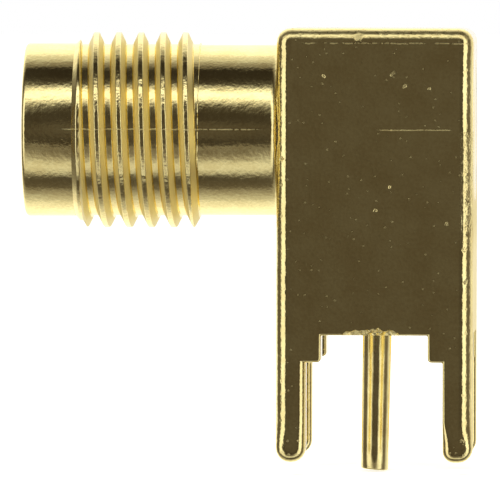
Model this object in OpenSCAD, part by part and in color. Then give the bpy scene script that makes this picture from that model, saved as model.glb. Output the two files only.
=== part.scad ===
// Right-angle coaxial jack for a circuit board, with a threaded barrel and four corner legs.
// Millimetres. The barrel points along -X and the legs and the signal pin along -Z.
// The origin is on the signal pin's axis, in the plane of the board's top face.

/* [Block] */
// Width of the square block, along the barrel and across it
block_w = 6.2; // [5.8:0.05:7]
// Height of the block's top above the board
block_h = 10.5; // [10.2:0.05:12]
// Height of the barrel's axis above the board
axis_h = 7.25; // [6.9:0.05:7.4]
// Radius on the outer edges of the block and of the legs
edge_r = 0.4; // [0.1:0.05:0.45]
// Radius on the block's two top corners, seen from the side
corner_r = 0.55; // [0.1:0.05:0.8]

/* [Feet and legs] */
// Height of the feet, which hold the block clear of the solder joints
foot_h = 0.85; // [0.5:0.05:1.2]
// Width of each square foot
foot_w = 1.42; // [1.2:0.01:1.6]
// Radius on the upright edges of the feet
foot_r = 0.12; // [0.05:0.01:0.2]
// Width of each square leg
leg_w = 0.95; // [0.95:0.01:1.1]
// Length of the legs below the board's top face
leg_l = 3.15; // [2:0.05:4]
// Radius on the legs' inner edges
leg_r = 0.3; // [0.1:0.01:0.4]
// Radius on the legs' tips
tip_r = 0.42; // [0.1:0.01:0.45]

/* [Barrel] */
// Length of the barrel, from the block to the rim
barrel_l = 8.05; // [7.2:0.05:12]
// Diameter of the plain pilot in front of the thread
pilot_d = 5.49; // [5.4:0.01:5.55]
// Length of the pilot
pilot_l = 1.5; // [1.2:0.05:2]
// Diameter of the neck behind the thread
neck_d = 5.42; // [5.3:0.01:5.6]
// Radius of the fillets at both ends of the neck
neck_r = 0.2; // [0.05:0.01:0.3]
// Chamfer on the rim, outside
rim_chamfer = 0.12; // [0.05:0.01:0.15]

/* [Coupling thread] */
// Outside diameter of the thread
thread_d = 6.2; // [6.19:0.01:6.33]
// Diameter at the bottom of the grooves
thread_root_d = 5.45; // [5.4:0.01:5.6]
// Pitch of the thread
thread_pitch = 0.7056; // [0.6:0.0001:0.75]
// Turns of the thread that stand at full height
thread_turns = 5; // [3:1:5]
// Width of the flat on each crest
crest_w = 0.09; // [0.05:0.01:0.12]
// Distance from the pilot to the first crest, which the lead chamfer cuts down
thread_lead = 0.27; // [0.25:0.01:0.6]
// Height of the first crest above the bottom of the grooves
lead_crest_h = 0.14; // [0.05:0.01:0.3]

/* [Mating face] */
// Diameter of the mouth that takes the plug's outer contact
mouth_d = 4.64; // [4.6:0.01:4.67]
// Depth of the mouth, from the rim to the reference plane
mouth_depth = 1.93; // [1.88:0.01:1.98]
// Chamfer at the rim, inside
mouth_chamfer = 0.15; // [0.05:0.01:0.2]

/* [Line] */
// Diameter of the housing's bores, which are the line's outer conductor
line_d = 4.1; // [3.8:0.05:4.2]
// Diameter of the inner conductor, on the contact and on the signal pin
inner_d = 1.27; // [1.2:0.01:1.3]
// Radial clearance of the pressed pieces in their holes
press_gap = 0.01; // [0.005:0.005:0.02]
// Length by which both insulators stop short of the other bore's wall
elbow_gap = 0.15; // [0.1:0.05:0.4]

/* [Centre contact] */
// Distance of the contact's tip behind the reference plane
contact_inset = 0.1; // [0:0.01:0.2]
// Bore of the socket that takes the plug's pin
socket_d = 0.95; // [0.9:0.01:0.98]
// Depth of the socket
socket_depth = 2.9; // [2.4:0.05:3.2]
// Width of the four slots between the socket's fingers
slot_w = 0.16; // [0.1:0.01:0.2]
// Length of the slots
slot_l = 2.2; // [1.5:0.05:2.3]
// Chamfer at the socket's entry, inside and outside
tip_chamfer = 0.07; // [0.03:0.01:0.1]
// Diameter of the barb that holds the contact in its insulator
barb_d = 1.6; // [1.5:0.01:1.8]
// Length of the barb's slope
barb_l = 0.4; // [0.3:0.01:0.5]
// Distance from the contact's tip to the barb
barb_at = 4.2; // [3.8:0.1:4.8]
// Length of the contact behind the signal pin's axis
contact_tail = 0.95; // [0.8:0.05:1.2]

/* [Signal pin] */
// Diameter of the tail that is soldered in the board
tail_d = 0.92; // [0.7:0.01:1]
// Length of the tail below the board's top face
tail_l = 3.55; // [2.5:0.05:5]
// Chamfer on the tail's tip
tail_chamfer = 0.08; // [0.03:0.01:0.15]
// Diameter of the spigot that is soldered in the contact's cross hole
spigot_d = 0.8; // [0.7:0.01:0.85]
// Length by which the spigot stands above the contact
spigot_over = 0.15; // [0.05:0.05:0.4]

/* [Rear cap] */
// Diameter of the cap that closes the solder opening in the block's rear
cap_d = 4.5; // [4.3:0.05:4.9]
// Thickness of the cap
cap_t = 0.7; // [0.5:0.05:0.8]
// Distance of the cap behind the block's rear face
cap_inset = 0.02; // [0.01:0.01:0.15]
// Chamfer on the cap's outer edge
cap_chamfer = 0.04; // [0.02:0.01:0.2]

/* [Hidden] */
$fn = 64;
// What a cut or a piece inside another runs past the face
over = 0.5;
// Half of the block, and the places of the rim and of the reference plane on the X axis
half = block_w / 2;
rim_x = -half - barrel_l;
reference_x = rim_x + mouth_depth;
contact_x = reference_x + contact_inset;
// The bores' meeting: where the upright bore ends and where the barrel's insulator ends
elbow_top = axis_h;
front_insulator_end = -line_d / 2 - elbow_gap;
lower_insulator_top = axis_h - line_d / 2 - elbow_gap;
flank_w = tan(30) * (thread_d - thread_root_d) / 2;

// A rectangle with true arcs at its corners, centred
module rounded_rect(w, h, r) {
    square([w - 2 * r, h], center = true);
    square([w, h - 2 * r], center = true);
    for (x = [-1, 1], y = [-1, 1])
        translate([x * (w / 2 - r), y * (h / 2 - r)]) circle(r);
}

// A square post from z0 to z1: r rounds its upright edges, end_x and end_y the edges of its ends
// that lie across X and across Y
module soft_post(w, z0, z1, r, end_x, end_y) {
    translate([0, 0, (z0 + z1) / 2]) intersection() {
        linear_extrude(z1 - z0, center = true) rounded_rect(w, w, r);
        rotate([90, 0, 0]) linear_extrude(w, center = true) rounded_rect(w, z1 - z0, end_x);
        rotate([90, 0, 90]) linear_extrude(w, center = true) rounded_rect(w, z1 - z0, end_y);
    }
}

// Puts a shape of the given width flush into each corner of the block
module at_corners(w) {
    for (x = [-1, 1], y = [-1, 1])
        translate([x * (half - w / 2), y * (half - w / 2), 0]) children();
}

// Turns a shape that stands on Z to lie along the barrel, from x towards the block
module along_barrel(x) {
    translate([x, 0, axis_h]) rotate([0, 90, 0]) children();
}

// One ridge of the thread as profile points: a crest of the given height between two 30 degree flanks
function ridge(at, height) =
    let (foot = crest_w / 2 + flank_w,
         top = foot - tan(30) * height,
         root = thread_root_d / 2)
    [[root, at - foot], [root + height, at - top], [root + height, at + top], [root, at + foot]];

// The barrel's outside, turned: pilot, thread and neck
module barrel_outside() {
    full = (thread_d - thread_root_d) / 2;
    first = pilot_l + thread_lead;
    neck_at = first + thread_turns * thread_pitch + crest_w / 2 + flank_w;
    pilot = pilot_d / 2;
    neck = neck_d / 2;
    rotate_extrude() polygon(concat(
        [[0, 0], [pilot - rim_chamfer, 0], [pilot, rim_chamfer], [pilot, pilot_l - rim_chamfer / 2]],
        ridge(first, lead_crest_h),
        [for (i = [1 : thread_turns]) each ridge(first + i * thread_pitch, full)],
        [[neck, neck_at + rim_chamfer], [neck, barrel_l + over], [0, barrel_l + over]]));
}

// The fillet ring where the neck runs into the block
module neck_fillet() {
    rotate_extrude() translate([neck_d / 2, 0]) difference() {
        translate([-over, -neck_r]) square([over + neck_r, neck_r + over]);
        translate([neck_r, -neck_r]) circle(neck_r);
    }
}

// The block with its feet and legs, solid inside; the envelope ends below the legs, whose tips are
// rounded by themselves
module block_outside() {
    intersection() {
        soft_post(block_w, -leg_l - 2 * corner_r, block_h, edge_r, corner_r, edge_r);
        union() {
            translate([-half, -half, foot_h]) cube([block_w, block_w, block_h - foot_h]);
            at_corners(foot_w) linear_extrude(foot_h + over) rounded_rect(foot_w, foot_w, foot_r);
            at_corners(leg_w) soft_post(leg_w, -leg_l, foot_h + tip_r, leg_r, tip_r, tip_r);
        }
    }
}

// One zinc casting, gold plated: barrel, block, feet and legs
module housing() {
    color([0.80, 0.66, 0.36]) difference() {
        union() {
            block_outside();
            along_barrel(rim_x) barrel_outside();
            along_barrel(-half) neck_fillet();
        }
        along_barrel(rim_x - over) cylinder(d = mouth_d, h = over + mouth_depth);
        along_barrel(rim_x) cylinder(d1 = mouth_d + 2 * mouth_chamfer, d2 = mouth_d, h = mouth_chamfer);
        along_barrel(rim_x) cylinder(d = line_d, h = -rim_x + half - over);
        along_barrel(half - cap_inset - cap_t) cylinder(d = cap_d, h = cap_t + over);
        translate([0, 0, -over]) cylinder(d = line_d, h = elbow_top + over);
    }
}

// White insulator pressed into the barrel from the mouth
module front_insulator() {
    color([0.93, 0.93, 0.90]) difference() {
        along_barrel(reference_x)
            cylinder(d = line_d - 2 * press_gap, h = front_insulator_end - reference_x);
        along_barrel(reference_x - over)
            cylinder(d = inner_d + 2 * press_gap, h = front_insulator_end - reference_x + 2 * over);
        along_barrel(contact_x + barb_at - press_gap)
            cylinder(d = barb_d + 2 * press_gap, h = barb_l + 2 * press_gap);
    }
}

// Centre contact: a rod with a slotted socket in front, a barb, and a cross hole behind
module centre_contact() {
    color([0.86, 0.70, 0.36]) difference() {
        union() {
            along_barrel(contact_x)
                cylinder(d1 = inner_d - 2 * tip_chamfer, d2 = inner_d, h = tip_chamfer);
            along_barrel(contact_x + tip_chamfer)
                cylinder(d = inner_d, h = contact_tail - contact_x - tip_chamfer);
            along_barrel(contact_x + barb_at) cylinder(d1 = barb_d, d2 = inner_d, h = barb_l);
        }
        along_barrel(contact_x - over) cylinder(d = socket_d, h = over + socket_depth);
        along_barrel(contact_x)
            cylinder(d1 = socket_d + 2 * tip_chamfer, d2 = socket_d, h = tip_chamfer);
        for (turn = [0, 90])
            along_barrel(contact_x - over) rotate([0, 0, turn + 45])
                translate([-inner_d, -slot_w / 2, 0]) cube([2 * inner_d, slot_w, over + slot_l]);
        translate([0, 0, axis_h - inner_d]) cylinder(d = spigot_d + 2 * press_gap, h = 2 * inner_d);
    }
}

// Signal pin: tail, body of the line's diameter that starts flush with its insulator's face, and the
// spigot in the contact
module signal_pin() {
    color([0.86, 0.70, 0.36]) {
        translate([0, 0, -tail_l]) cylinder(d1 = tail_d - 2 * tail_chamfer, d2 = tail_d, h = tail_chamfer);
        translate([0, 0, tail_chamfer - tail_l]) cylinder(d = tail_d, h = tail_l - tail_chamfer + foot_h);
        translate([0, 0, foot_h]) cylinder(d = inner_d, h = axis_h - inner_d / 2 - press_gap - foot_h);
        translate([0, 0, foot_h]) cylinder(d = spigot_d, h = axis_h + inner_d / 2 + spigot_over - foot_h);
    }
}

// White insulator pressed up into the block around the signal pin
module lower_insulator() {
    color([0.93, 0.93, 0.90]) difference() {
        translate([0, 0, foot_h]) cylinder(d = line_d - 2 * press_gap, h = lower_insulator_top - foot_h);
        translate([0, 0, foot_h - over]) cylinder(d = inner_d + 2 * press_gap, h = lower_insulator_top);
    }
}

// Disc pressed over the opening through which the contact was soldered
module rear_cap() {
    color([0.80, 0.66, 0.36]) {
        along_barrel(half - cap_inset - cap_t)
            cylinder(d = cap_d - 2 * press_gap, h = cap_t - cap_chamfer);
        along_barrel(half - cap_inset - cap_chamfer)
            cylinder(d1 = cap_d - 2 * press_gap, d2 = cap_d - 2 * press_gap - 2 * cap_chamfer, h = cap_chamfer);
    }
}

housing();
front_insulator();
centre_contact();
signal_pin();
lower_insulator();
rear_cap();
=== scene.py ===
import itertools
import math
from functools import partial, reduce

import bmesh
import bpy
from mathutils import Matrix, Vector
from mathutils import noise as lumps


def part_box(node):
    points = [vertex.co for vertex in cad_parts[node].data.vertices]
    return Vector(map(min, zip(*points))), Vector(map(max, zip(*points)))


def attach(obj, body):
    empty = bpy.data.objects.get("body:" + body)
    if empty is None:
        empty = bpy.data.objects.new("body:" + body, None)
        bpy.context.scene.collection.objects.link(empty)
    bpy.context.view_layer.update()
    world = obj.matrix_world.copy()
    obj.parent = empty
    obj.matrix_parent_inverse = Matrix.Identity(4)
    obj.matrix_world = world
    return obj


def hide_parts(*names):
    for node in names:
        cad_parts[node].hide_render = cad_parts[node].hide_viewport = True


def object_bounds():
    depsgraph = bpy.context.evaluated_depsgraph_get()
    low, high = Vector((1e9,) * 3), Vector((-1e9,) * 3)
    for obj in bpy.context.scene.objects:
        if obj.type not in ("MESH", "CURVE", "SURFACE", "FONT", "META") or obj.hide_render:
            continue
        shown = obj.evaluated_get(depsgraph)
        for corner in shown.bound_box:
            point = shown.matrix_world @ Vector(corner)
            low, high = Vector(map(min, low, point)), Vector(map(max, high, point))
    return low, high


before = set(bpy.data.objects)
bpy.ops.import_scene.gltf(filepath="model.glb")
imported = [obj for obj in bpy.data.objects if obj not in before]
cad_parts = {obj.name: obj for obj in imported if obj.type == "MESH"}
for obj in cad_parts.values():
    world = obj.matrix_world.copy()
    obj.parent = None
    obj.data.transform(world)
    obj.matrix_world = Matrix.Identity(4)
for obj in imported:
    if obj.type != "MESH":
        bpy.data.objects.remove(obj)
cad_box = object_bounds()

# --- Light table ---------------------------------------------------------------------------------
# Not part of the object. The connector stands on a white table before a white backdrop, as small
# parts are shown in a catalogue: lamps ring the lens, and the room behind the lens is dark.
# Sizes in this script are in millimetres, and MM turns them into the frame's metres.
MM = 0.001
TABLE_SIZE = 4.0
TABLE_GAP = 0.02
PAPER, PAPER_GLOW = (0.82, 0.82, 0.82, 1), 0.55
lowest = Vector(cad_box[0])


def new_material(name):
    material = bpy.data.materials.new(name)
    material.use_nodes = True
    material.node_tree.nodes.clear()
    return material


def add_node(tree, kind, inputs=(), **settings):
    """Adds a node. The inputs are numbers, colours or sockets, in the order of the node's own inputs."""
    node = tree.nodes.new(kind)
    for name, value in settings.items():
        setattr(node, name, value)
    for socket, value in zip(node.inputs, inputs):
        if isinstance(value, bpy.types.NodeSocket):
            tree.links.new(value, socket)
        elif value is not None:
            socket.default_value = value
    return node


def calc(tree, operation, *values, clamp=False):
    """One Math node on numbers or sockets."""
    return add_node(tree, "ShaderNodeMath", values, operation=operation, use_clamp=clamp).outputs[0]


def vector_calc(tree, operation, *values):
    """One Vector Math node on vectors or sockets."""
    return add_node(tree, "ShaderNodeVectorMath", values, operation=operation).outputs[0]


def finish_material(material, surface):
    out = material.node_tree.nodes.new("ShaderNodeOutputMaterial")
    material.node_tree.links.new(surface, out.inputs["Surface"])
    return material


def white_table():
    """White paper that keeps the part's shadow. A mirror looks through it at the room."""
    material = new_material("white_table")
    tree = material.node_tree
    paper = add_node(tree, "ShaderNodeBsdfDiffuse", (PAPER,)).outputs[0]
    glow = add_node(tree, "ShaderNodeEmission", (None, PAPER_GLOW)).outputs[0]
    lit = add_node(tree, "ShaderNodeAddShader", (paper, glow)).outputs[0]
    clear = add_node(tree, "ShaderNodeBsdfTransparent").outputs[0]
    seen_by = add_node(tree, "ShaderNodeLightPath").outputs["Is Glossy Ray"]
    return finish_material(material, add_node(tree, "ShaderNodeMixShader", (seen_by, lit, clear)).outputs[0])


bpy.ops.mesh.primitive_plane_add(size=TABLE_SIZE, location=(0, 0, lowest.z - TABLE_GAP * MM))
table = bpy.context.object
table.name = "table"
table.data.materials.append(white_table())

# Light against the angle from the lens, in degrees, above, below, left and right of it
ABOVE = ((0, .103), (8, .092), (16, .05), (31.5, .055), (49.5, 1.75), (66.5, .05), (76, .033),
         (90, .03), (99, .28), (112, .78), (128, 1.4), (140, 1.6), (165, 1.4), (180, 1.05))
BELOW = ((0, .103), (8, .087), (17, .045), (21, .1), (24.5, .25), (28.5, .15), (32, .19), (50, .74),
         (53, .72), (68, .065), (74, .09), (82, .12), (91, .33), (104, .6), (118, .98), (140, 1.4),
         (165, 1.3), (180, 1.05))
LEFT = ((0, .103), (8, .087), (24, .06), (36, 1.2), (64, 1.2), (77, .12), (112, .13), (126, .9),
        (140, 1.3), (180, 1.05))
RIGHT = ((0, .103), (8, .087), (21, .06), (31, 1.3), (59, 1.3), (70, .15), (94, .15), (112, .75),
         (140, 1.1), (180, 1.05))
# The dark parts of the room are warmer than the lamps
DIM, WARM = 0.45, (1.0, 0.83, 0.68)
BACKDROP = (1, 1, 1, 1)

room = bpy.data.worlds.new("light_room")
bpy.context.scene.world = room
room.use_nodes = True
room.node_tree.nodes.clear()


def room_light(tree, angle, stops):
    """The light of one side of the room, blended between its stops."""
    ramp = add_node(tree, "ShaderNodeValToRGB", (angle,))
    elements = ramp.color_ramp.elements
    ramp.color_ramp.interpolation = "EASE"
    while len(elements) > 1:
        elements.remove(elements[-1])
    for index, (degrees, level) in enumerate(stops):
        element = elements.new(degrees / 180) if index else elements[0]
        element.position = degrees / 180
        warmth = max(0.0, 1 - level / DIM)
        element.color = [level * (1 - warmth * (1 - part)) for part in WARM] + [1]
    return ramp.outputs["Color"]


def light_room(tree):
    """The four sides blended by direction. The lens sees the white backdrop instead."""
    c = partial(calc, tree)
    direction = add_node(tree, "ShaderNodeTexCoord").outputs["Generated"]
    x, y, z = add_node(tree, "ShaderNodeSeparateXYZ", (direction,)).outputs[:3]
    angle = c("DIVIDE", c("ARCCOSINE", c("MULTIPLY", y, -1.0)), math.pi)
    # A trace is added, so that nothing is divided by 0 straight behind the lens
    across = c("ADD", c("MULTIPLY", x, x), 1e-6)
    upright = c("MULTIPLY", z, z)
    share = c("DIVIDE", upright, c("ADD", across, upright))
    above = c("MULTIPLY", share, c("GREATER_THAN", z, 0.0))
    below = c("SUBTRACT", share, above)
    beside = c("SUBTRACT", 1.0, share)
    right = c("MULTIPLY", beside, c("GREATER_THAN", x, 0.0))
    left = c("SUBTRACT", beside, right)
    sides = [vector_calc(tree, "SCALE", room_light(tree, angle, stops), None, None, weight)
             for weight, stops in ((above, ABOVE), (below, BELOW), (left, LEFT), (right, RIGHT))]
    total = reduce(partial(vector_calc, tree, "ADD"), sides)
    lamps = add_node(tree, "ShaderNodeBackground", (total,)).outputs[0]
    backdrop = add_node(tree, "ShaderNodeBackground", (BACKDROP, 1.0)).outputs[0]
    seen_by = add_node(tree, "ShaderNodeLightPath").outputs["Is Camera Ray"]
    picked = add_node(tree, "ShaderNodeMixShader", (seen_by, lamps, backdrop)).outputs[0]
    add_node(tree, "ShaderNodeOutputWorld", (picked,))


light_room(room.node_tree)

# One soft lamp, which is left out of mirror images, lights the white pieces and casts the shadow
LAMP_AT, LAMP_SIZE, LAMP_WATTS = Vector((-0.08, -0.18, 0.30)), 0.25, 1.1
lamp_data = bpy.data.lights.new("key_lamp", "AREA")
lamp_data.shape = "SQUARE"
lamp_data.size = LAMP_SIZE
lamp_data.energy = LAMP_WATTS
lamp = bpy.data.objects.new("key_lamp", lamp_data)
lamp.location = LAMP_AT
lamp.rotation_euler = LAMP_AT.to_track_quat("Z", "Y").to_euler()
lamp.visible_glossy = False
bpy.context.collection.objects.link(lamp)

# --- Camera --------------------------------------------------------------------------------------
# Not part of the object. A very long lens almost square to the block's side, a touch above it and
# to the rear, which shows 15.9 mm across at the barrel's axis.
LENS, SENSOR, LENS_DISTANCE = 680.4, 36, 0.300
TURN, TILT, ROLL = (math.radians(a) for a in (2.6, 1.7, -0.12))
AIM = Vector((-4.048, 0, 3.438)) * MM
away = Vector((math.sin(TURN) * math.cos(TILT), -math.cos(TURN) * math.cos(TILT), math.sin(TILT)))
camera_data = bpy.data.cameras.new("camera")
camera_data.sensor_width = SENSOR
camera_data.lens = LENS
camera_data.clip_start = 0.01
camera = bpy.data.objects.new("camera", camera_data)
facing = away.to_track_quat("Z", "Y").to_matrix().to_4x4()
rolled = facing @ Matrix.Rotation(-ROLL, 4, "Z")
camera.matrix_world = Matrix.Translation(AIM + away * LENS_DISTANCE) @ rolled
bpy.context.collection.objects.link(camera)
bpy.context.scene.camera = camera
bpy.context.scene.view_settings.view_transform = "Standard"

# --- Housing -------------------------------------------------------------------------------------
# One zinc die casting, plated with gold: threaded barrel, square block, four feet and four legs.
# The two halves of the die meet at the height of the barrel's axis, where a fine flash line is left.
body_low, body_high = (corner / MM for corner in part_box("housing"))
line_low, line_high = (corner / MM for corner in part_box("front_insulator"))
lower_low, lower_high = (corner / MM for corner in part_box("lower_insulator"))
cap_low, cap_high = (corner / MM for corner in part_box("rear_cap"))
PRESS_GAP = 0.01
AXIS = (line_low.z + line_high.z) / 2
HALF, TOP, TIP, RIM = body_high.y, body_high.z, body_low.z, body_low.x
CEILING = lower_low.z
REFERENCE = line_low.x
LINE_R = (line_high.z - line_low.z) / 2 + PRESS_GAP
CAP_R = (cap_high.z - cap_low.z) / 2 + PRESS_GAP
FOOT_W, LEG_W = 1.42, 0.95
COLUMNS = 192


def stepped_block(bm):
    """The block on its feet and legs with plain flat faces and sharp edges."""
    steps = (-HALF, LEG_W - HALF, FOOT_W - HALF, HALF - FOOT_W, HALF - LEG_W, HALF)
    levels = (TIP, 0.0, CEILING, TOP)
    last, layers = len(steps) - 2, len(levels) - 1

    def filled(i, j, k):
        # The legs fill the outermost cells, the feet two cells, the block all of them
        if not (0 <= i <= last and 0 <= j <= last and 0 <= k < layers):
            return False
        return all(min(c, last - c) <= k for c in (i, j))

    corners = {}
    for cell in itertools.product(range(last + 1), range(last + 1), range(layers)):
        if not filled(*cell):
            continue
        for axis, side in itertools.product(range(3), (0, 1)):
            neighbour = list(cell)
            neighbour[axis] += 2 * side - 1
            if filled(*neighbour):
                continue
            quad = []
            for a, b in ((0, 0), (1, 0), (1, 1), (0, 1)):
                at = list(cell)
                at[axis] += side
                at[(axis + 1) % 3] += a
                at[(axis + 2) % 3] += b
                at = tuple(at)
                if at not in corners:
                    corners[at] = bm.verts.new((steps[at[0]], steps[at[1]], levels[at[2]]))
                quad.append(corners[at])
            bm.faces.new(quad if side else quad[::-1])
    bm.normal_update()
    bmesh.ops.dissolve_limit(bm, angle_limit=math.radians(1), verts=bm.verts, edges=bm.edges)


# Corners as seen from the side: the block's top, the legs' tips, the rear legs' inner tips, the feet
CORNER_R, TIP_R, SHARP_TIP_R, FOOT_CORNER_R = 0.46, 0.45, 0.36, 0.12
# Fillets between the two sides and the rest: on the block, round the tips, inside and between the legs
EDGE_R, TIP_FILLET, REAR_TIP_FILLET = 0.4, 0.28, 0.24
LEG_FILLET, REAR_LEG_FILLET, LEG_END_FILLET = 0.24, 0.08, 0.15
SMALL_FILLET, HOLLOW_FILLET = 0.07, 0.05
# Heights between which the fillets along the legs run, in small steps, into the fillet round the tip
RUN_LOW, RUN_HIGH, RUN_STEPS = TIP + 0.5, TIP + 1.2, 7
# The rear upright edges get rounder by this much over a short run below the block's top corner
REAR_WIDER, WIDE_BELOW, WIDE_RUN = 0.06, TOP - CORNER_R - 0.05, 0.7
# The block's own edges start this far above the recess, the feet end at the seat
ABOVE_RECESS, NEAR_SEAT = 0.5, -0.1


def close_to(a, b):
    return abs(a - b) < 1e-3


def round_across(bm, radius, wanted):
    """Rounds the sharp edges along Y for which wanted(middle of the edge) is true."""
    edges = []
    for edge in bm.edges:
        a, b = (vert.co for vert in edge.verts)
        if close_to(a.x, b.x) and close_to(a.z, b.z) and wanted((a + b) / 2):
            edges.append(edge)
    bmesh.ops.bevel(bm, geom=edges, offset=radius, segments=5, profile=0.5, affect="EDGES")
    bm.normal_update()


def is_upright(a, b):
    return close_to(a.x, b.x) and close_to(a.y, b.y)


def split_side_edges(bm, height):
    """Gives the upright edges on the block's two sides a point at a height."""
    for edge in list(bm.edges):
        low, high = sorted(edge.verts, key=lambda vert: vert.co.z)
        on_side = is_upright(low.co, high.co) and close_to(abs(low.co.y), HALF)
        if on_side and low.co.z < height < high.co.z:
            bmesh.utils.edge_split(edge, low, (height - low.co.z) / (high.co.z - low.co.z))


def fillet_radius(edge):
    """Radius of the casting's fillet on one edge of the block, feet and legs."""
    a, b = (vert.co for vert in edge.verts)
    middle = (a + b) / 2
    if edge.calc_face_angle() < math.radians(30):
        return 0.0
    if not edge.is_convex:
        return HOLLOW_FILLET
    on_side = close_to(abs(middle.y), HALF)
    outer = abs(middle.x) > HALF - LEG_W / 2
    share = min(1.0, max(0.0, (middle.z - RUN_LOW) / (RUN_HIGH - RUN_LOW)))
    tip_fillet = TIP_FILLET if middle.x < 0 else REAR_TIP_FILLET
    if on_side and (middle.z > CEILING + ABOVE_RECESS or outer and is_upright(a, b)):
        full = EDGE_R
        if middle.x > 0 and is_upright(a, b):
            full += REAR_WIDER * min(1.0, max(0.0, (WIDE_BELOW - middle.z) / WIDE_RUN))
        return tip_fillet + (full - tip_fillet) * share
    if middle.z > NEAR_SEAT:
        return SMALL_FILLET
    if not on_side:
        return LEG_END_FILLET
    along_leg = LEG_FILLET if middle.x < 0 else REAR_LEG_FILLET
    return tip_fillet + (along_leg - tip_fillet) * share


bm = bmesh.new()
stepped_block(bm)
INNER_TIP = HALF - LEG_W
round_across(bm, CORNER_R, lambda m: close_to(m.z, TOP))
round_across(bm, SHARP_TIP_R, lambda m: close_to(m.z, TIP) and close_to(m.x, INNER_TIP))
round_across(bm, TIP_R, lambda m: close_to(m.z, TIP) and not INNER_TIP - TIP_R < m.x < INNER_TIP + TIP_R)
round_across(bm, FOOT_CORNER_R, lambda m: close_to(m.z, 0) and close_to(abs(m.x), HALF - FOOT_W))
for step in range(RUN_STEPS + 1):
    split_side_edges(bm, RUN_LOW + (RUN_HIGH - RUN_LOW) * step / RUN_STEPS)
    split_side_edges(bm, WIDE_BELOW - WIDE_RUN * step / RUN_STEPS)
split_side_edges(bm, RUN_HIGH + 0.05)
weights = bm.edges.layers.float.new("bevel_weight_edge")
WIDEST = 0.5
for edge in bm.edges:
    edge[weights] = fillet_radius(edge) / WIDEST


def as_object(bm, name):
    """Makes an object of a mesh that is finished, and frees it."""
    mesh = bpy.data.meshes.new(name)
    bm.to_mesh(mesh)
    bm.free()
    obj = bpy.data.objects.new(name, mesh)
    bpy.context.collection.objects.link(obj)
    return obj


# Points that modifiers leave closer than this are merged
MERGED = 5e-4


def apply_modifiers(obj):
    """Bakes an object's modifiers into its own mesh. Points that fell together are merged, and faces
    with more than four sides are cut into triangles."""
    result = obj.evaluated_get(bpy.context.evaluated_depsgraph_get())
    mesh = bpy.data.meshes.new_from_object(result)
    obj.modifiers.clear()
    obj.data = mesh
    bm = bmesh.new()
    bm.from_mesh(mesh)
    bmesh.ops.remove_doubles(bm, verts=bm.verts, dist=MERGED)
    bmesh.ops.triangulate(bm, faces=[face for face in bm.faces if len(face.verts) > 4])
    bm.to_mesh(mesh)
    bm.free()


block = as_object(bm, "block")
fillets = block.modifiers.new("fillets", "BEVEL")
fillets.width = WIDEST
fillets.segments = 7
fillets.limit_method = "WEIGHT"
fillets.use_clamp_overlap = False
apply_modifiers(block)


# The barrel's sizes, from the rim back to the block: mouth, pilot, thread, neck
MOUTH_R, MOUTH_CHAMFER = 2.32, 0.15
PILOT_R, PILOT_END, RIM_ROUND = 2.745, -9.57, 0.12
NECK_R, NECK_FILLET = 2.71, 0.2
PITCH, CREST_R, ROOT_R, CREST_W = 0.7056, 3.1, 2.725, 0.15
# The flanks' angle from upright. The cast thread's is a little steeper than the nominal 30 degrees
FLANK_ANGLE = 26
# Place along X of the helix's crest on top of the barrel, and of the thread's end
FIRST_CREST, THREAD_END = -9.629, -5.58
# The thread's first turn is skimmed to a lower crest, up to a place along X
LOW_CREST_R, LOW_CREST_END = 2.89, -9.33
LEAD_SLOPE, EXIT_SLOPE = 0.96, 1.73
# How far the corners of the thread are softened: crest, root, lead and runout
CREST_SOFT, ROOT_SOFT, LEAD_SOFT, END_SOFT = 0.06, 0.05, 0.03, 0.02
THREAD_SIZES = {
    "Pitch": PITCH, "Crest Radius": CREST_R, "Root Radius": ROOT_R, "Crest Width": CREST_W,
    "Flank Slope": math.tan(math.radians(FLANK_ANGLE)), "First Crest": FIRST_CREST,
    "Start": PILOT_END, "Start Radius": PILOT_R, "Lead Slope": LEAD_SLOPE,
    "End": THREAD_END, "End Radius": NECK_R, "Exit Slope": EXIT_SLOPE,
    "Low Crest Radius": LOW_CREST_R, "Low Crest End": LOW_CREST_END,
    "Axis Height": AXIS, "Columns": COLUMNS, "Rows per Turn": 40, "Turns": 9}


def ring_point(x, radius, column):
    """A point of the barrel: the columns run from the top over the near side to the bottom."""
    turn = 2 * math.pi * column / COLUMNS
    return Vector((x, -radius * math.sin(turn), AXIS + radius * math.cos(turn)))


def arc(x, r, radius, start, end, steps=5):
    """Points on a round edge of a turned profile, as (along the axis, radius)."""
    angles = [math.radians(start + (end - start) * n / steps) for n in range(steps + 1)]
    return [(x + radius * math.cos(a), r + radius * math.sin(a)) for a in angles]


def turned(bm, profile, place, closed=False):
    """Turns a profile into faces. place(along, radius, column) gives a point, and a radius of 0
    closes the shape on the axis."""
    rings = []
    for along, radius in profile:
        if radius == 0:
            rings.append([bm.verts.new(place(along, 0, 0))] * COLUMNS)
        else:
            rings.append([bm.verts.new(place(along, radius, column)) for column in range(COLUMNS)])
    if closed:
        rings.append(rings[0])
    for ring, following in zip(rings, rings[1:]):
        for column in range(COLUMNS):
            after = (column + 1) % COLUMNS
            corners = (ring[column], ring[after], following[after], following[column])
            bm.faces.new(dict.fromkeys(corners))


# Points of one skin that are closer than this are one point, and rows this near to the thread's end
# lie on it. The helix starts some turns before the thread
TOGETHER, AT_END, TURNS_BEFORE = 1e-4, 1e-5, 2


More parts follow.
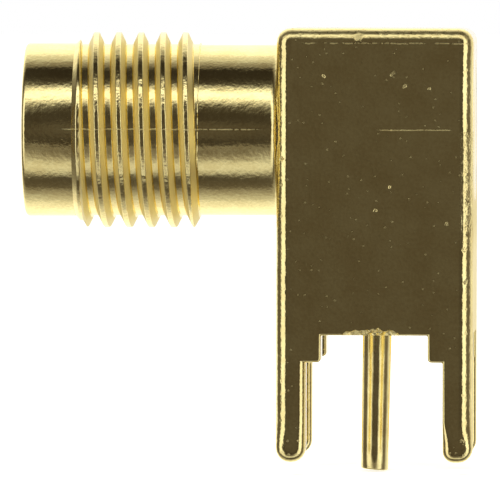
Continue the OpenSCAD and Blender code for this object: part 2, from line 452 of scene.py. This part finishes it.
def thread_tree(sizes):
    """Geometry Nodes for the coupling thread: a grid whose rows run along the helix, wound round the
    axis. Rows that would pass either end of the thread fall together there and are merged."""
    tree = bpy.data.node_groups.new("coupling_thread", "GeometryNodeTree")
    for name, value in sizes.items():
        kind = "NodeSocketInt" if isinstance(value, int) else "NodeSocketFloat"
        tree.interface.new_socket(name, in_out="INPUT", socket_type=kind)
    tree.interface.new_socket("Finish", in_out="INPUT", socket_type="NodeSocketMaterial")
    tree.interface.new_socket("Thread", in_out="OUTPUT", socket_type="NodeSocketGeometry")
    size = tree.nodes.new("NodeGroupInput").outputs
    c = partial(calc, tree)
    rows = c("MULTIPLY", size["Rows per Turn"], size["Turns"])
    columns = c("ADD", size["Columns"], 1)
    grid = add_node(tree, "GeometryNodeMeshGrid", (1.0, 1.0, c("ADD", rows, 1), columns)).outputs["Mesh"]
    index = tree.nodes.new("GeometryNodeInputIndex").outputs[0]
    row = c("FLOOR", c("DIVIDE", c("ADD", index, 0.5), columns))
    lap = c("DIVIDE", c("SUBTRACT", index, c("MULTIPLY", row, columns)), size["Columns"])
    turn = c("MULTIPLY", lap, 2 * math.pi)
    turns = c("DIVIDE", row, size["Rows per Turn"])
    # The first full ring is closed, because the helix starts before the thread
    wound = c("SUBTRACT", c("ADD", turns, lap), TURNS_BEFORE)
    helix = c("MULTIPLY_ADD", wound, size["Pitch"], size["First Crest"])
    along = c("MINIMUM", c("MAXIMUM", helix, size["Start"]), size["End"])
    # Distance from the nearest crest, then the profile with softened corners
    offset = c("SUBTRACT", turns, c("ROUND", turns))
    distance = c("MULTIPLY", c("ABSOLUTE", offset), size["Pitch"])
    beyond = c("SUBTRACT", distance, c("MULTIPLY", size["Crest Width"], 0.5))
    flank = c("SUBTRACT", size["Crest Radius"], c("DIVIDE", beyond, size["Flank Slope"]))
    crest = c("SMOOTH_MIN", flank, size["Crest Radius"], CREST_SOFT)
    profile = c("SMOOTH_MAX", crest, size["Root Radius"], ROOT_SOFT)
    # The cones and the skimmed first turn, which cut the profile at both ends
    lead = c("MULTIPLY_ADD", c("SUBTRACT", along, size["Start"]), size["Lead Slope"], size["Start Radius"])
    beyond_low = c("MAXIMUM", c("SUBTRACT", along, size["Low Crest End"]), 0.0)
    low = c("MULTIPLY_ADD", beyond_low, size["Exit Slope"], size["Low Crest Radius"])
    lead = c("SMOOTH_MIN", lead, low, END_SOFT)
    leave = c("MULTIPLY_ADD", c("SUBTRACT", size["End"], along), size["Exit Slope"], size["End Radius"])
    cut = c("SMOOTH_MIN", c("SMOOTH_MIN", profile, lead, LEAD_SOFT), leave, END_SOFT)
    before = c("LESS_THAN", helix, c("ADD", size["Start"], AT_END))
    after = c("GREATER_THAN", helix, c("SUBTRACT", size["End"], AT_END))
    between = c("SUBTRACT", c("SUBTRACT", 1.0, before), after)
    radius = c("ADD", c("MULTIPLY", cut, between), c("MULTIPLY", size["Start Radius"], before))
    radius = c("ADD", radius, c("MULTIPLY", size["End Radius"], after))
    y = c("MULTIPLY", c("MULTIPLY", radius, c("SINE", turn)), -1.0)
    z = c("MULTIPLY_ADD", radius, c("COSINE", turn), size["Axis Height"])
    place = add_node(tree, "ShaderNodeCombineXYZ", (along, y, z)).outputs[0]
    skin = add_node(tree, "GeometryNodeSetPosition", (grid, None, place)).outputs[0]
    merge = tree.nodes.new("GeometryNodeMergeByDistance")
    tree.links.new(skin, merge.inputs["Geometry"])
    merge.inputs["Distance"].default_value = TOGETHER
    real = add_node(tree, "GeometryNodeRealizeInstances", (merge.outputs[0],)).outputs[0]
    painted = add_node(tree, "GeometryNodeSetMaterial", (real, None, size["Finish"])).outputs[0]
    out = tree.nodes.new("NodeGroupOutput")
    tree.links.new(painted, out.inputs[0])
    return tree


def add_geometry_nodes(obj, tree, values):
    """Gives an object a Geometry Nodes modifier and sets its inputs by their identifiers."""
    modifier = obj.modifiers.new(tree.name, "NODES")
    modifier.node_group = tree
    for item in tree.interface.items_tree:
        if item.in_out == "INPUT" and item.name in values:
            modifier[item.identifier] = values[item.name]
    apply_modifiers(obj)


def soft_step(tree, value, low, high):
    """Rises smoothly from 0 at low to 1 at high, both in millimetres."""
    rise = add_node(tree, "ShaderNodeMapRange", (value, low, high), interpolation_type="SMOOTHSTEP")
    return rise.outputs[0]


def where_all(tree, *masks):
    """The product of masks."""
    return reduce(partial(calc, tree, "MULTIPLY"), masks)


def noise(tree, place, size, detail=2.0, roughness=0.5):
    """Even noise between 0 and 1 with features of the given size in millimetres."""
    return add_node(tree, "ShaderNodeTexNoise", (place, None, 1 / (size * MM), detail, roughness)).outputs[0]


def specks(tree, place, spacing, radius, share):
    """Scattered round specks: 1 in the middle and 0 outside, on the given share of the places."""
    cells = add_node(tree, "ShaderNodeTexVoronoi", (place, None, 1 / (spacing * MM))).outputs
    drawn = add_node(tree, "ShaderNodeSeparateXYZ", (cells["Color"],)).outputs
    reach = calc(tree, "MULTIPLY", calc(tree, "ADD", drawn[1], 0.3), radius / spacing)
    inside = calc(tree, "SUBTRACT", 1.0, calc(tree, "DIVIDE", cells["Distance"], reach), clamp=True)
    return calc(tree, "MULTIPLY", inside, calc(tree, "LESS_THAN", drawn[0], share))


def millimetres(tree, socket):
    return calc(tree, "MULTIPLY", socket, 1 / MM)


# How far a dent's outline strays
RAGGED = 0.07


def dent(tree, place, at, reach):
    """A round dent in the casting, in millimetres: 1 in the middle and 0 outside."""
    away = add_node(tree, "ShaderNodeVectorMath", (place, Vector(at) * MM), operation="DISTANCE")
    away = millimetres(tree, away.outputs["Value"])
    ragged = calc(tree, "MULTIPLY_ADD", noise(tree, place, RAGGED), 2 * RAGGED, away)
    return soft_step(tree, ragged, reach + RAGGED, RAGGED)


def dents(tree, place, marks):
    """The deepest of several dents, given as (place, reach)."""
    return reduce(partial(calc, tree, "MAXIMUM"), [dent(tree, place, at, reach) for at, reach in marks])


# Knocks on the near side: on a leg's tip, on the top edge, and on the rear and front edges
KNOCKS = (((2.76, -3.0, -2.46), 0.14), ((-0.52, -2.98, 10.2), 0.2), ((2.8, -3.0, 3.55), 0.12),
          ((2.85, -3.0, 2.55), 0.10), ((-2.9, -3.0, 6.4), 0.10))
# Shallow scuffs on the flat of the near side
SCUFFS = (((0.60, -3.1, 9.09), 0.12), ((0.53, -3.1, 9.02), 0.1), ((0.95, -3.1, 8.70), 0.09),
          ((1.73, -3.1, 8.59), 0.07), ((0.04, -3.1, 4.78), 0.08), ((2.27, -3.1, 4.39), 0.08),
          ((0.48, -3.1, 5.52), 0.06), ((-1.6, -3.1, 9.0), 0.06))
GOLD_DEEP, GOLD_LIGHT = (0.84, 0.68, 0.29, 1), (1.0, 0.86, 0.40, 1)
# The paler third gold is a painted sheen, laid on the thread's flanks
GOLD_PAINTED_SHEEN, GOLD_EDGE = (1.0, 0.885, 0.48, 1), (1.0, 0.96, 0.84, 1)


def mixed(tree, share, one, other):
    """A colour between two, which are colours or sockets."""
    mix = tree.nodes.new("ShaderNodeMix")
    mix.data_type = "RGBA"
    for index, value in ((0, share), (6, one), (7, other)):
        if isinstance(value, bpy.types.NodeSocket):
            tree.links.new(value, mix.inputs[index])
        else:
            mix.inputs[index].default_value = value
    return mix.outputs[2]


def bumped(tree, height):
    """The surface's direction, tilted by a height in millimetres."""
    bump = tree.nodes.new("ShaderNodeBump")
    bump.inputs["Distance"].default_value = MM
    tree.links.new(height, bump.inputs["Height"])
    return bump.outputs[0]


def gold_metal(tree, tone, rough, height, painted_sheen=None):
    """Polished or grained gold. Its tone varies between two golds, and height is in millimetres. A mask for
    the places painted a paler gold, a painted sheen, can be added."""
    colour = mixed(tree, tone, GOLD_DEEP, GOLD_LIGHT)
    # The mask paints the paler gold on, as a painted sheen
    if painted_sheen is not None:
        colour = mixed(tree, painted_sheen, colour, GOLD_PAINTED_SHEEN)
    metal = tree.nodes.new("ShaderNodeBsdfPrincipled")
    metal.inputs["Metallic"].default_value = 1.0
    metal.inputs["Specular Tint"].default_value = GOLD_EDGE
    tree.links.new(colour, metal.inputs["Base Color"])
    tree.links.new(rough, metal.inputs["Roughness"])
    tree.links.new(bumped(tree, height), metal.inputs["Normal"])
    return metal.outputs[0]


def measured(tree):
    """The place on the piece, and its x, y and z in millimetres."""
    place = add_node(tree, "ShaderNodeTexCoord").outputs["Object"]
    parts = add_node(tree, "ShaderNodeSeparateXYZ", (place,)).outputs
    return place, [millimetres(tree, part) for part in parts]


# Height of the flash line over the axis, and the depth of the line under the block's top
FLASH_ABOVE_AXIS, LINE_BELOW_TOP = 0.06, 0.415
SCAR_START, SCAR_END, SCAR_DEPTH = -1.0, 0.78, 0.18
# Sizes of the skin's grain, waves and clouds, and the heights of the first two
GRAIN, WAVE, CLOUD = 0.10, 0.38, 1.1
GRAIN_HEIGHT, WAVE_HEIGHT = 0.0042, 0.006
# Heights of what stands out or lies deeper
FLASH_HEIGHT, PIT_HEIGHT, KNOCK_HEIGHT, SCUFF_HEIGHT = 0.003, -0.0035, -0.034, -0.009
SMOOTHEST = 0.055


def gold_casting_material():
    """Gold over a cast skin: slightly wavy, finely grained, pitted, and coarser on the thread's flanks."""
    material = new_material("gold_casting")
    tree = material.node_tree
    c, step, where = partial(calc, tree), partial(soft_step, tree), partial(where_all, tree)
    place, (x, y, z) = measured(tree)
    above_axis = c("SUBTRACT", z, AXIS)
    radius = c("SQRT", c("ADD", c("MULTIPLY", y, y), c("MULTIPLY", above_axis, above_axis)))
    grain = noise(tree, place, GRAIN, 3.0)
    wave = noise(tree, place, WAVE)
    tone = c("MULTIPLY_ADD", grain, 0.4, c("MULTIPLY", noise(tree, place, CLOUD, 4.0, 0.6), 0.6))

    # The thread's flanks are coarse and painted a paler gold as a painted sheen, its grooves are less
    # coarse, and the crests are smooth
    low_flank = where(step(x, LOW_CREST_END - 0.11, LOW_CREST_END - 0.09),
                      step(radius, LOW_CREST_R - 0.02, LOW_CREST_R - 0.04))
    on_thread = c("MAXIMUM", step(x, LOW_CREST_END, LOW_CREST_END + 0.03), low_flank)
    on_thread = where(on_thread, step(x, THREAD_END, THREAD_END - 0.02))
    flank = where(step(radius, ROOT_R + 0.03, ROOT_R + 0.09), step(radius, CREST_R, CREST_R - 0.04))
    groove = step(radius, ROOT_R + 0.05, ROOT_R + 0.02)
    coarse = where(on_thread, c("MULTIPLY_ADD", groove, 0.15, flank))
    crest = where(on_thread, step(radius, CREST_R - 0.06, CREST_R - 0.02))
    # Painted sheen: the flanks get a paler gold that stands in for the pale light they scatter
    painted_sheen = where(flank, on_thread)
    tone = c("MAXIMUM", step(tone, 0.32, 0.68), painted_sheen)

    # Flash line of the die, along the barrel and, broken, on the rear half of the block's two sides
    on_side = step(c("ABSOLUTE", y), HALF - 0.1, HALF - 0.05)
    on_block = where(step(x, -0.1, 0.25), on_side, step(grain, 0.28, 0.45),
                     step(x, HALF - 0.64, HALF - 0.76))
    on_barrel = where(step(x, -HALF - 0.05, -HALF - 0.9), step(x, PILOT_END - 0.6, PILOT_END),
                      step(grain, 0.3, 0.55))
    from_flash = c("SUBTRACT", above_axis, FLASH_ABOVE_AXIS + 0.025)
    from_flash = c("ABSOLUTE", c("MULTIPLY_ADD", wave, 0.05, from_flash))
    flash = where(step(from_flash, 0.03, 0.008), c("ADD", on_block, on_barrel))
    # A second broken line lies under the block's top edge
    from_line = c("ABSOLUTE", c("MULTIPLY_ADD", wave, 0.1, c("SUBTRACT", z, TOP - LINE_BELOW_TOP)))
    line = where(step(from_line, 0.035, 0.012), step(grain, 0.36, 0.5), step(wave, 0.34, 0.5),
                 step(x, -HALF + 0.6, -HALF + 0.9))
    flash = c("MULTIPLY_ADD", where(on_side, line), 0.9, flash)

    # The block's outer edges are worn, most on the rear edge below the flash line
    near_side = step(c("ABSOLUTE", y), HALF - EDGE_R, HALF - 0.32)
    top_edge = step(z, TOP - EDGE_R, TOP - 0.3)
    edge = where(c("MAXIMUM", step(c("ABSOLUTE", x), HALF - EDGE_R, HALF - 0.3), top_edge), near_side)
    top_edge = where(top_edge, near_side)
    rubbed = where(step(x, HALF - 0.48, HALF - 0.4), step(z, 3.2, 4.4), c("LESS_THAN", above_axis, 0.0))
    worn = c("MULTIPLY_ADD", edge, c("MULTIPLY_ADD", rubbed, 4.0, 1.3), c("MULTIPLY", crest, 1.2))

    # The scar where the gate broke off, in the near lower edge of the block
    scar = where(step(x, SCAR_START - 0.05, SCAR_START + 0.1), step(x, SCAR_END + 0.05, SCAR_END - 0.1),
                 step(z, CEILING + SCAR_DEPTH + 0.06, CEILING + SCAR_DEPTH - 0.02),
                 step(y, -HALF + SCAR_DEPTH + 0.1, -HALF + SCAR_DEPTH),
                 step(y, -HALF + 0.004, -HALF + 0.012))
    worn = c("MULTIPLY_ADD", scar, 6.0, worn)

    # The lower half of the rear face is ground
    ground = where(step(x, HALF - 0.06, HALF - 0.02), step(z, 5.9, 4.7))

    # Pits, which are shallower on the barrel, and the marks of handling
    pits = c("MAXIMUM", specks(tree, place, 0.25, 0.06, 0.7), specks(tree, place, 0.8, 0.14, 0.5))
    depth = c("MULTIPLY_ADD", step(x, -HALF - 0.2, -HALF), 0.75, 0.25)
    pits = where(step(pits, 0.0, 0.6), step(grain, 0.35, 0.5), depth)
    knocks, scuffs = (dents(tree, place, marks) for marks in (KNOCKS, SCUFFS))

    skin = c("MULTIPLY_ADD", grain, GRAIN_HEIGHT, c("MULTIPLY", wave, WAVE_HEIGHT))
    height = c("MULTIPLY", skin, c("ADD", worn, 1.0))
    for mask, more in ((flash, FLASH_HEIGHT), (pits, PIT_HEIGHT), (knocks, KNOCK_HEIGHT),
                       (scuffs, SCUFF_HEIGHT)):
        height = c("MULTIPLY_ADD", mask, more, height)
    rough = c("MULTIPLY_ADD", grain, 0.05, SMOOTHEST)
    for mask, more in ((coarse, 0.45), (flash, 0.35), (pits, 0.25), (rubbed, 0.12), (crest, 0.04),
                       (scar, 0.22), (top_edge, 0.2), (knocks, 0.25), (scuffs, 0.26), (ground, 0.3)):
        rough = c("MULTIPLY_ADD", mask, more, rough)
    return finish_material(material, gold_metal(tree, tone, rough, height, painted_sheen))


gold_casting = gold_casting_material()

barrel = as_object(bmesh.new(), "barrel")
add_geometry_nodes(barrel, thread_tree(THREAD_SIZES), THREAD_SIZES | {"Finish": gold_casting})
# The mouth, rim and pilot in front of the thread, and the neck, which ends inside the block
SUPPORT, INSIDE = 0.03, 1.0
front = [(REFERENCE, 0), (REFERENCE, MOUTH_R), (RIM + MOUTH_CHAMFER, MOUTH_R)]
front += [(RIM, MOUTH_R + MOUTH_CHAMFER)]
front += arc(RIM + RIM_ROUND, PILOT_R - RIM_ROUND, RIM_ROUND, 180, 90)
front += [(PILOT_END - SUPPORT, PILOT_R), (PILOT_END, PILOT_R)]
rear = [(THREAD_END, NECK_R), (THREAD_END + SUPPORT, NECK_R)]
rear += arc(-HALF - NECK_FILLET, NECK_R + NECK_FILLET, NECK_FILLET, 270, 360)
rear += [(INSIDE - HALF, NECK_R + NECK_FILLET), (INSIDE - HALF, 0)]
bm = bmesh.new()
bm.from_mesh(barrel.data)
turned(bm, front, ring_point)
turned(bm, rear, ring_point)
bmesh.ops.remove_doubles(bm, verts=bm.verts, dist=TOGETHER)
bmesh.ops.recalc_face_normals(bm, faces=bm.faces)
bm.to_mesh(barrel.data)
bm.free()


def turned_object(name, profile, place, closed=False):
    """A turned piece as a closed mesh object, in millimetres."""
    bm = bmesh.new()
    turned(bm, profile, place, closed)
    bmesh.ops.remove_doubles(bm, verts=bm.verts, dist=TOGETHER)
    bmesh.ops.recalc_face_normals(bm, faces=bm.faces)
    return as_object(bm, name)


def plain_rod(name, low, high, radius):
    """A rod between two points on an upright axis, used to cut a bore."""
    bm = bmesh.new()
    bmesh.ops.create_cone(bm, cap_ends=True, segments=ROD_SIDES, radius1=radius, radius2=radius,
                          depth=(high - low).length)
    turn = (high - low).to_track_quat("Z", "Y").to_matrix().to_4x4()
    bm.transform(Matrix.Translation((low + high) / 2) @ turn)
    return as_object(bm, name)


def combine(obj, tools, operation):
    """Joins other closed shapes to an object or cuts them from it, and removes them."""
    for tool in tools:
        modifier = obj.modifiers.new(tool.name, "BOOLEAN")
        modifier.operation = operation
        modifier.solver = "EXACT"
        modifier.object = tool
        apply_modifiers(obj)
        bpy.data.objects.remove(tool)


# Tools reach this far over the ends. The upright bore stops short of the axis, inside the line's bore
OVER, SHORT, ROD_SIDES = 0.5, 0.1, 90
line_profile = [(REFERENCE - OVER, 0), (REFERENCE - OVER, LINE_R), (cap_low.x, LINE_R),
                (cap_low.x, CAP_R), (HALF + OVER, CAP_R), (HALF + OVER, 0)]
bores = [turned_object("line_bore", line_profile, ring_point),
         plain_rod("upright_bore", Vector((0, 0, -OVER)), Vector((0, 0, AXIS - SHORT)), LINE_R)]
combine(block, [barrel], "UNION")
combine(block, bores, "DIFFERENCE")


# How closely the gouge's lumps lie along and round it, and their height as a share of its depth
LUMPS_ALONG, LUMPS_ROUND, LUMP_SHARE = 7, 1.5, 0.5
# Its width at the ends as a share of its depth, and how bluntly it widens from there
END_SHARE, BLUNTNESS = 0.12, 0.35


def ragged_gouge(start, end, depth, rows=48, columns=20):
    """A lumpy rod along X in the near lower edge of the block, which cuts the scar of the gate."""
    bm = bmesh.new()
    rings = []
    for row in range(rows + 1):
        share = row / rows
        x = start + (end - start) * share
        swell = math.sin(math.pi * share) ** BLUNTNESS
        ring = []
        for column in range(columns):
            turn = 2 * math.pi * column / columns
            across, up = math.cos(turn) * LUMPS_ROUND, math.sin(turn) * LUMPS_ROUND
            lump = lumps.noise(Vector((x * LUMPS_ALONG, across, up)))
            reach = depth * (END_SHARE + swell * (1 + LUMP_SHARE * lump))
            ring.append(bm.verts.new((x, -HALF + reach * math.cos(turn), CEILING + reach * math.sin(turn))))
        rings.append(ring)
    for ring, following in zip(rings, rings[1:]):
        for column in range(columns):
            after = (column + 1) % columns
            bm.faces.new((ring[column], ring[after], following[after], following[column]))
    bm.faces.new(rings[0])
    bm.faces.new(rings[-1])
    bmesh.ops.recalc_face_normals(bm, faces=bm.faces)
    return as_object(bm, "gouge")


combine(block, [ragged_gouge(SCAR_START, SCAR_END, SCAR_DEPTH)], "DIFFERENCE")


# Edges that turn by more than this stay sharp
SHARP = math.radians(35)


def finish_piece(obj, name, node, material):
    """Turns a finished shape from millimetres into metres in the shared frame, and hands it over."""
    mesh = obj.data
    mesh.transform(Matrix.Scale(MM, 4))
    mesh.materials.clear()
    mesh.materials.append(material)
    mesh.polygons.foreach_set("material_index", [0] * len(mesh.polygons))
    mesh.polygons.foreach_set("use_smooth", [True] * len(mesh.polygons))
    mesh.set_sharp_from_angle(angle=SHARP)
    weighted = obj.modifiers.new("normals", "WEIGHTED_NORMAL")
    weighted.keep_sharp = True
    result = obj.evaluated_get(bpy.context.evaluated_depsgraph_get())
    obj.data = bpy.data.meshes.new_from_object(result)
    obj.modifiers.clear()
    obj.name = obj.data.name = name
    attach(obj, "root")
    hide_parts(node)


finish_piece(block, "cast_housing", "housing", gold_casting)


# --- Front insulator -----------------------------------------------------------------------------
# A white fluoropolymer sleeve, turned from rod. It is pressed into the barrel from the mouth and
# holds the centre contact; its front face is the floor of the mouth.
def sleeve(low, high, hole, outside, chamfer):
    """Profile of a sleeve with both ends chamfered, inside and outside."""
    return [(low, hole + chamfer), (low, outside - chamfer), (low + chamfer, outside),
            (high - chamfer, outside), (high, outside - chamfer), (high, hole + chamfer),
            (high - chamfer, hole), (low + chamfer, hole)]


MILK, WHITE = (0.80, 0.80, 0.77, 1), (0.86, 0.86, 0.84, 1)
# Distance between the lathe's rings, and the heights of the rings and of the waxy grain
LATHE_FEED, RING_HEIGHT, WAX_HEIGHT = 0.07, 0.0006, 0.004


def white_insulator_material(along):
    """Fluoropolymer: milky and waxy, with the lathe's fine rings round the given axis (x or z)."""
    material = new_material("white_insulator_" + along)
    tree = material.node_tree
    c = partial(calc, tree)
    place, (x, y, z) = measured(tree)
    across = c("SUBTRACT", z, AXIS) if along == "x" else x
    radius = c("SQRT", c("ADD", c("MULTIPLY", y, y), c("MULTIPLY", across, across)))
    cloud = noise(tree, place, 0.5, 3.0, 0.6)
    rings = c("SINE", c("MULTIPLY", radius, 2 * math.pi / LATHE_FEED))
    wax = c("MULTIPLY", noise(tree, place, 0.05), WAX_HEIGHT)
    height = c("MULTIPLY_ADD", rings, RING_HEIGHT, wax)
    colour = mixed(tree, soft_step(tree, cloud, 0.3, 0.7), MILK, WHITE)
    plastic = tree.nodes.new("ShaderNodeBsdfPrincipled")
    plastic.inputs["IOR"].default_value = 1.35
    plastic.inputs["Subsurface Weight"].default_value = 0.25
    plastic.inputs["Subsurface Scale"].default_value = 0.4 * MM
    tree.links.new(colour, plastic.inputs["Base Color"])
    tree.links.new(c("MULTIPLY_ADD", cloud, 0.15, 0.38), plastic.inputs["Roughness"])
    tree.links.new(bumped(tree, height), plastic.inputs["Normal"])
    return finish_material(material, plastic.outputs[0])


# The contact's radius, and its barb, which sits in a groove of the sleeve's hole
INNER_R, SLEEVE_CHAMFER = 0.635, 0.06
BARB_AT, BARB_R, BARB_L = 4.2, 0.8, 0.4
CONTACT_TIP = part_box("centre_contact")[0].x / MM
HOLE_R, GROOVE_R = INNER_R + PRESS_GAP, BARB_R + PRESS_GAP
profile = sleeve(REFERENCE, line_high.x, HOLE_R, LINE_R - PRESS_GAP, SLEEVE_CHAMFER)
groove_low = CONTACT_TIP + BARB_AT - PRESS_GAP
groove_high = CONTACT_TIP + BARB_AT + BARB_L + PRESS_GAP
profile[7:7] = [(groove_high, HOLE_R), (groove_high, GROOVE_R), (groove_low, GROOVE_R), (groove_low, HOLE_R)]
line_sleeve = turned_object("line_sleeve", profile, ring_point, closed=True)
finish_piece(line_sleeve, "line_sleeve", "front_insulator",
             white_insulator_material("x"))


# --- Centre contact ------------------------------------------------------------------------------
# Turned from a springy copper alloy and gold plated. Four slots make the socket's springy fingers, a barb
# holds it in its insulator, and the signal pin's spigot is soldered in the cross hole behind.
def turned_gold_material(name, axis_height, streak, smoothest=0.07):
    """Plated turned or drawn metal. Streak is the size of its fine marks along X, Y and Z."""
    material = new_material(name)
    tree = material.node_tree
    c = partial(calc, tree)
    place = add_node(tree, "ShaderNodeTexCoord").outputs["Object"]
    centred = vector_calc(tree, "SUBTRACT", place, (0, 0, axis_height * MM))
    marks_at = vector_calc(tree, "MULTIPLY", centred, [1 / (size * MM) for size in streak])
    marks = add_node(tree, "ShaderNodeTexNoise", (marks_at, None, 1.0, 2.0, 0.6)).outputs[0]
    cloud = noise(tree, place, 0.6, 3.0, 0.6)
    spots = specks(tree, place, 0.3, 0.04, 0.5)
    # Heights of the fine marks, of the metal's waves and of its small spots
    waves = c("MULTIPLY", noise(tree, place, 0.25), 0.003)
    height = c("MULTIPLY_ADD", marks, 0.0022, waves)
    height = c("MULTIPLY_ADD", spots, -0.004, height)
    rough = c("MULTIPLY_ADD", marks, 0.08, c("MULTIPLY_ADD", cloud, 0.08, smoothest))
    return finish_material(material, gold_metal(tree, soft_step(tree, cloud, 0.3, 0.7), rough, height))


SOCKET_R, SOCKET_DEPTH, DRILL_POINT, TIP_CHAMFER = 0.475, 2.9, 0.25, 0.07
SLOT_W, SLOT_L = 0.16, 2.2
SPIGOT_R = 0.4
tail_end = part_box("centre_contact")[1].x / MM
profile = [(CONTACT_TIP + SOCKET_DEPTH + DRILL_POINT, 0), (CONTACT_TIP + SOCKET_DEPTH, SOCKET_R),
           (CONTACT_TIP + TIP_CHAMFER, SOCKET_R), (CONTACT_TIP, SOCKET_R + TIP_CHAMFER * 0.6),
           (CONTACT_TIP, INNER_R - TIP_CHAMFER), (CONTACT_TIP + TIP_CHAMFER, INNER_R),
           (CONTACT_TIP + BARB_AT, INNER_R), (CONTACT_TIP + BARB_AT, BARB_R),
           (CONTACT_TIP + BARB_AT + BARB_L, INNER_R), (tail_end - TIP_CHAMFER, INNER_R),
           (tail_end, INNER_R - TIP_CHAMFER), (tail_end, 0)]
contact = turned_object("socket_contact", profile, ring_point)


def plain_bar(name, low, high, turn):
    """A box between two corners, turned by an angle round the barrel's axis, used to cut a slot."""
    bm = bmesh.new()
    bmesh.ops.create_cube(bm, size=1.0)
    bm.transform(Matrix.Translation((low + high) / 2) @ Matrix.Diagonal((*(high - low), 1)))
    bm.transform(Matrix.Translation((0, 0, AXIS)) @ Matrix.Rotation(turn, 4, "X"))
    return as_object(bm, name)


ACROSS = 2 * INNER_R
slot_low = Vector((CONTACT_TIP - OVER, -ACROSS, -SLOT_W / 2))
slot_high = Vector((CONTACT_TIP + SLOT_L, ACROSS, SLOT_W / 2))
slots = [plain_bar("slot", slot_low, slot_high, math.radians(turn)) for turn in (45, 135)]
cross_hole = plain_rod("cross_hole", Vector((0, 0, AXIS - ACROSS)), Vector((0, 0, AXIS + ACROSS)),
                       SPIGOT_R + PRESS_GAP)
combine(contact, slots + [cross_hole], "DIFFERENCE")
finish_piece(contact, "socket_contact", "centre_contact",
             turned_gold_material("gold_contact", AXIS, (0.03, 0.6, 0.6)))


# --- Signal pin ----------------------------------------------------------------------------------
# Drawn brass rod, turned down to a tail and a spigot and gold plated. It is soldered in the centre
# contact and held by the lower insulator; the tail tapers a little, leans and is cropped aslant.
def upright_point(z, radius, column):
    """A point on a piece that stands on the signal pin's axis."""
    turn = 2 * math.pi * column / COLUMNS
    return Vector((radius * math.cos(turn), radius * math.sin(turn), z))


pin_low, pin_high = (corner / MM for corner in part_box("signal_pin"))
TAIL_R, TAIL_TIP_R, TAIL_CHAMFER = 0.46, 0.43, 0.05
# How far the tail leans in each millimetre, and by how much and over which length its end is aslant
LEAN, CROP, CROP_L = 0.0165, 0.075, 0.6
TAPER_STEPS, TAPER_STEP = 8, 0.55
SPIGOT_CHAMFER, STEP_CHAMFER = 0.04, 0.03


def tail_point(z, radius, column):
    """The tail leans towards the barrel below the insulator, and its end is cropped aslant."""
    point = upright_point(z, radius, column)
    cropped = max(0.0, 1 - (z - pin_low.z) / CROP_L)
    point.z += CROP * cropped * (TAIL_R - point.x) / (2 * TAIL_R)
    point.x -= LEAN * max(0.0, CEILING - z)
    return point


neck_z, end_z = AXIS - INNER_R - PRESS_GAP, pin_high.z
tip_z = pin_low.z + TAIL_CHAMFER
profile = [(pin_low.z, 0), (pin_low.z, TAIL_TIP_R - TAIL_CHAMFER),
           (pin_low.z + TAIL_CHAMFER * 0.4, TAIL_TIP_R - TAIL_CHAMFER * 0.3), (tip_z, TAIL_TIP_R)]
for step in range(TAPER_STEPS, 0, -1):
    z = CEILING - step * TAPER_STEP
    if z > tip_z:
        profile.append((z, TAIL_R + (TAIL_TIP_R - TAIL_R) * step / TAPER_STEPS))
profile += [(CEILING - 0.02, TAIL_R), (CEILING, TAIL_R), (CEILING, INNER_R - STEP_CHAMFER),
            (CEILING + STEP_CHAMFER, INNER_R), (neck_z - STEP_CHAMFER, INNER_R),
            (neck_z, INNER_R - STEP_CHAMFER), (neck_z, SPIGOT_R), (end_z - SPIGOT_CHAMFER, SPIGOT_R),
            (end_z, SPIGOT_R - SPIGOT_CHAMFER), (end_z, 0)]
pin = turned_object("solder_pin", profile, tail_point)
finish_piece(pin, "solder_pin", "signal_pin",
             turned_gold_material("gold_drawn", 0, (0.05, 0.05, 1.2), 0.09))

# --- Lower insulator -----------------------------------------------------------------------------
# The same white fluoropolymer, pressed up into the block round the signal pin. Its end is level with
# the ceiling of the recess between the feet.
profile = sleeve(CEILING, lower_high.z, HOLE_R, LINE_R - PRESS_GAP, SLEEVE_CHAMFER)
elbow_sleeve = turned_object("elbow_sleeve", profile, upright_point, closed=True)
finish_piece(elbow_sleeve, "elbow_sleeve", "lower_insulator",
             white_insulator_material("z"))

# --- Rear cap ------------------------------------------------------------------------------------
# A gold plated disc pressed into the block's rear after the pin was soldered to the contact. Its
# edge is rounded by the punch, so that only a hairline shows round it.
CAP_EDGE, CAP_SUNK = 0.015, 0.003
back, cap_rim = HALF - CAP_SUNK, CAP_R - PRESS_GAP
profile = [(cap_low.x, 0), (cap_low.x, cap_rim), (back - CAP_EDGE, cap_rim),
           (back - CAP_EDGE * 0.3, cap_rim - CAP_EDGE * 0.3), (back, cap_rim - CAP_EDGE), (back, 0)]
cap = turned_object("solder_cap", profile, ring_point)
finish_piece(cap, "solder_cap", "rear_cap",
             turned_gold_material("gold_punched", AXIS, (0.2, 0.3, 0.3)))
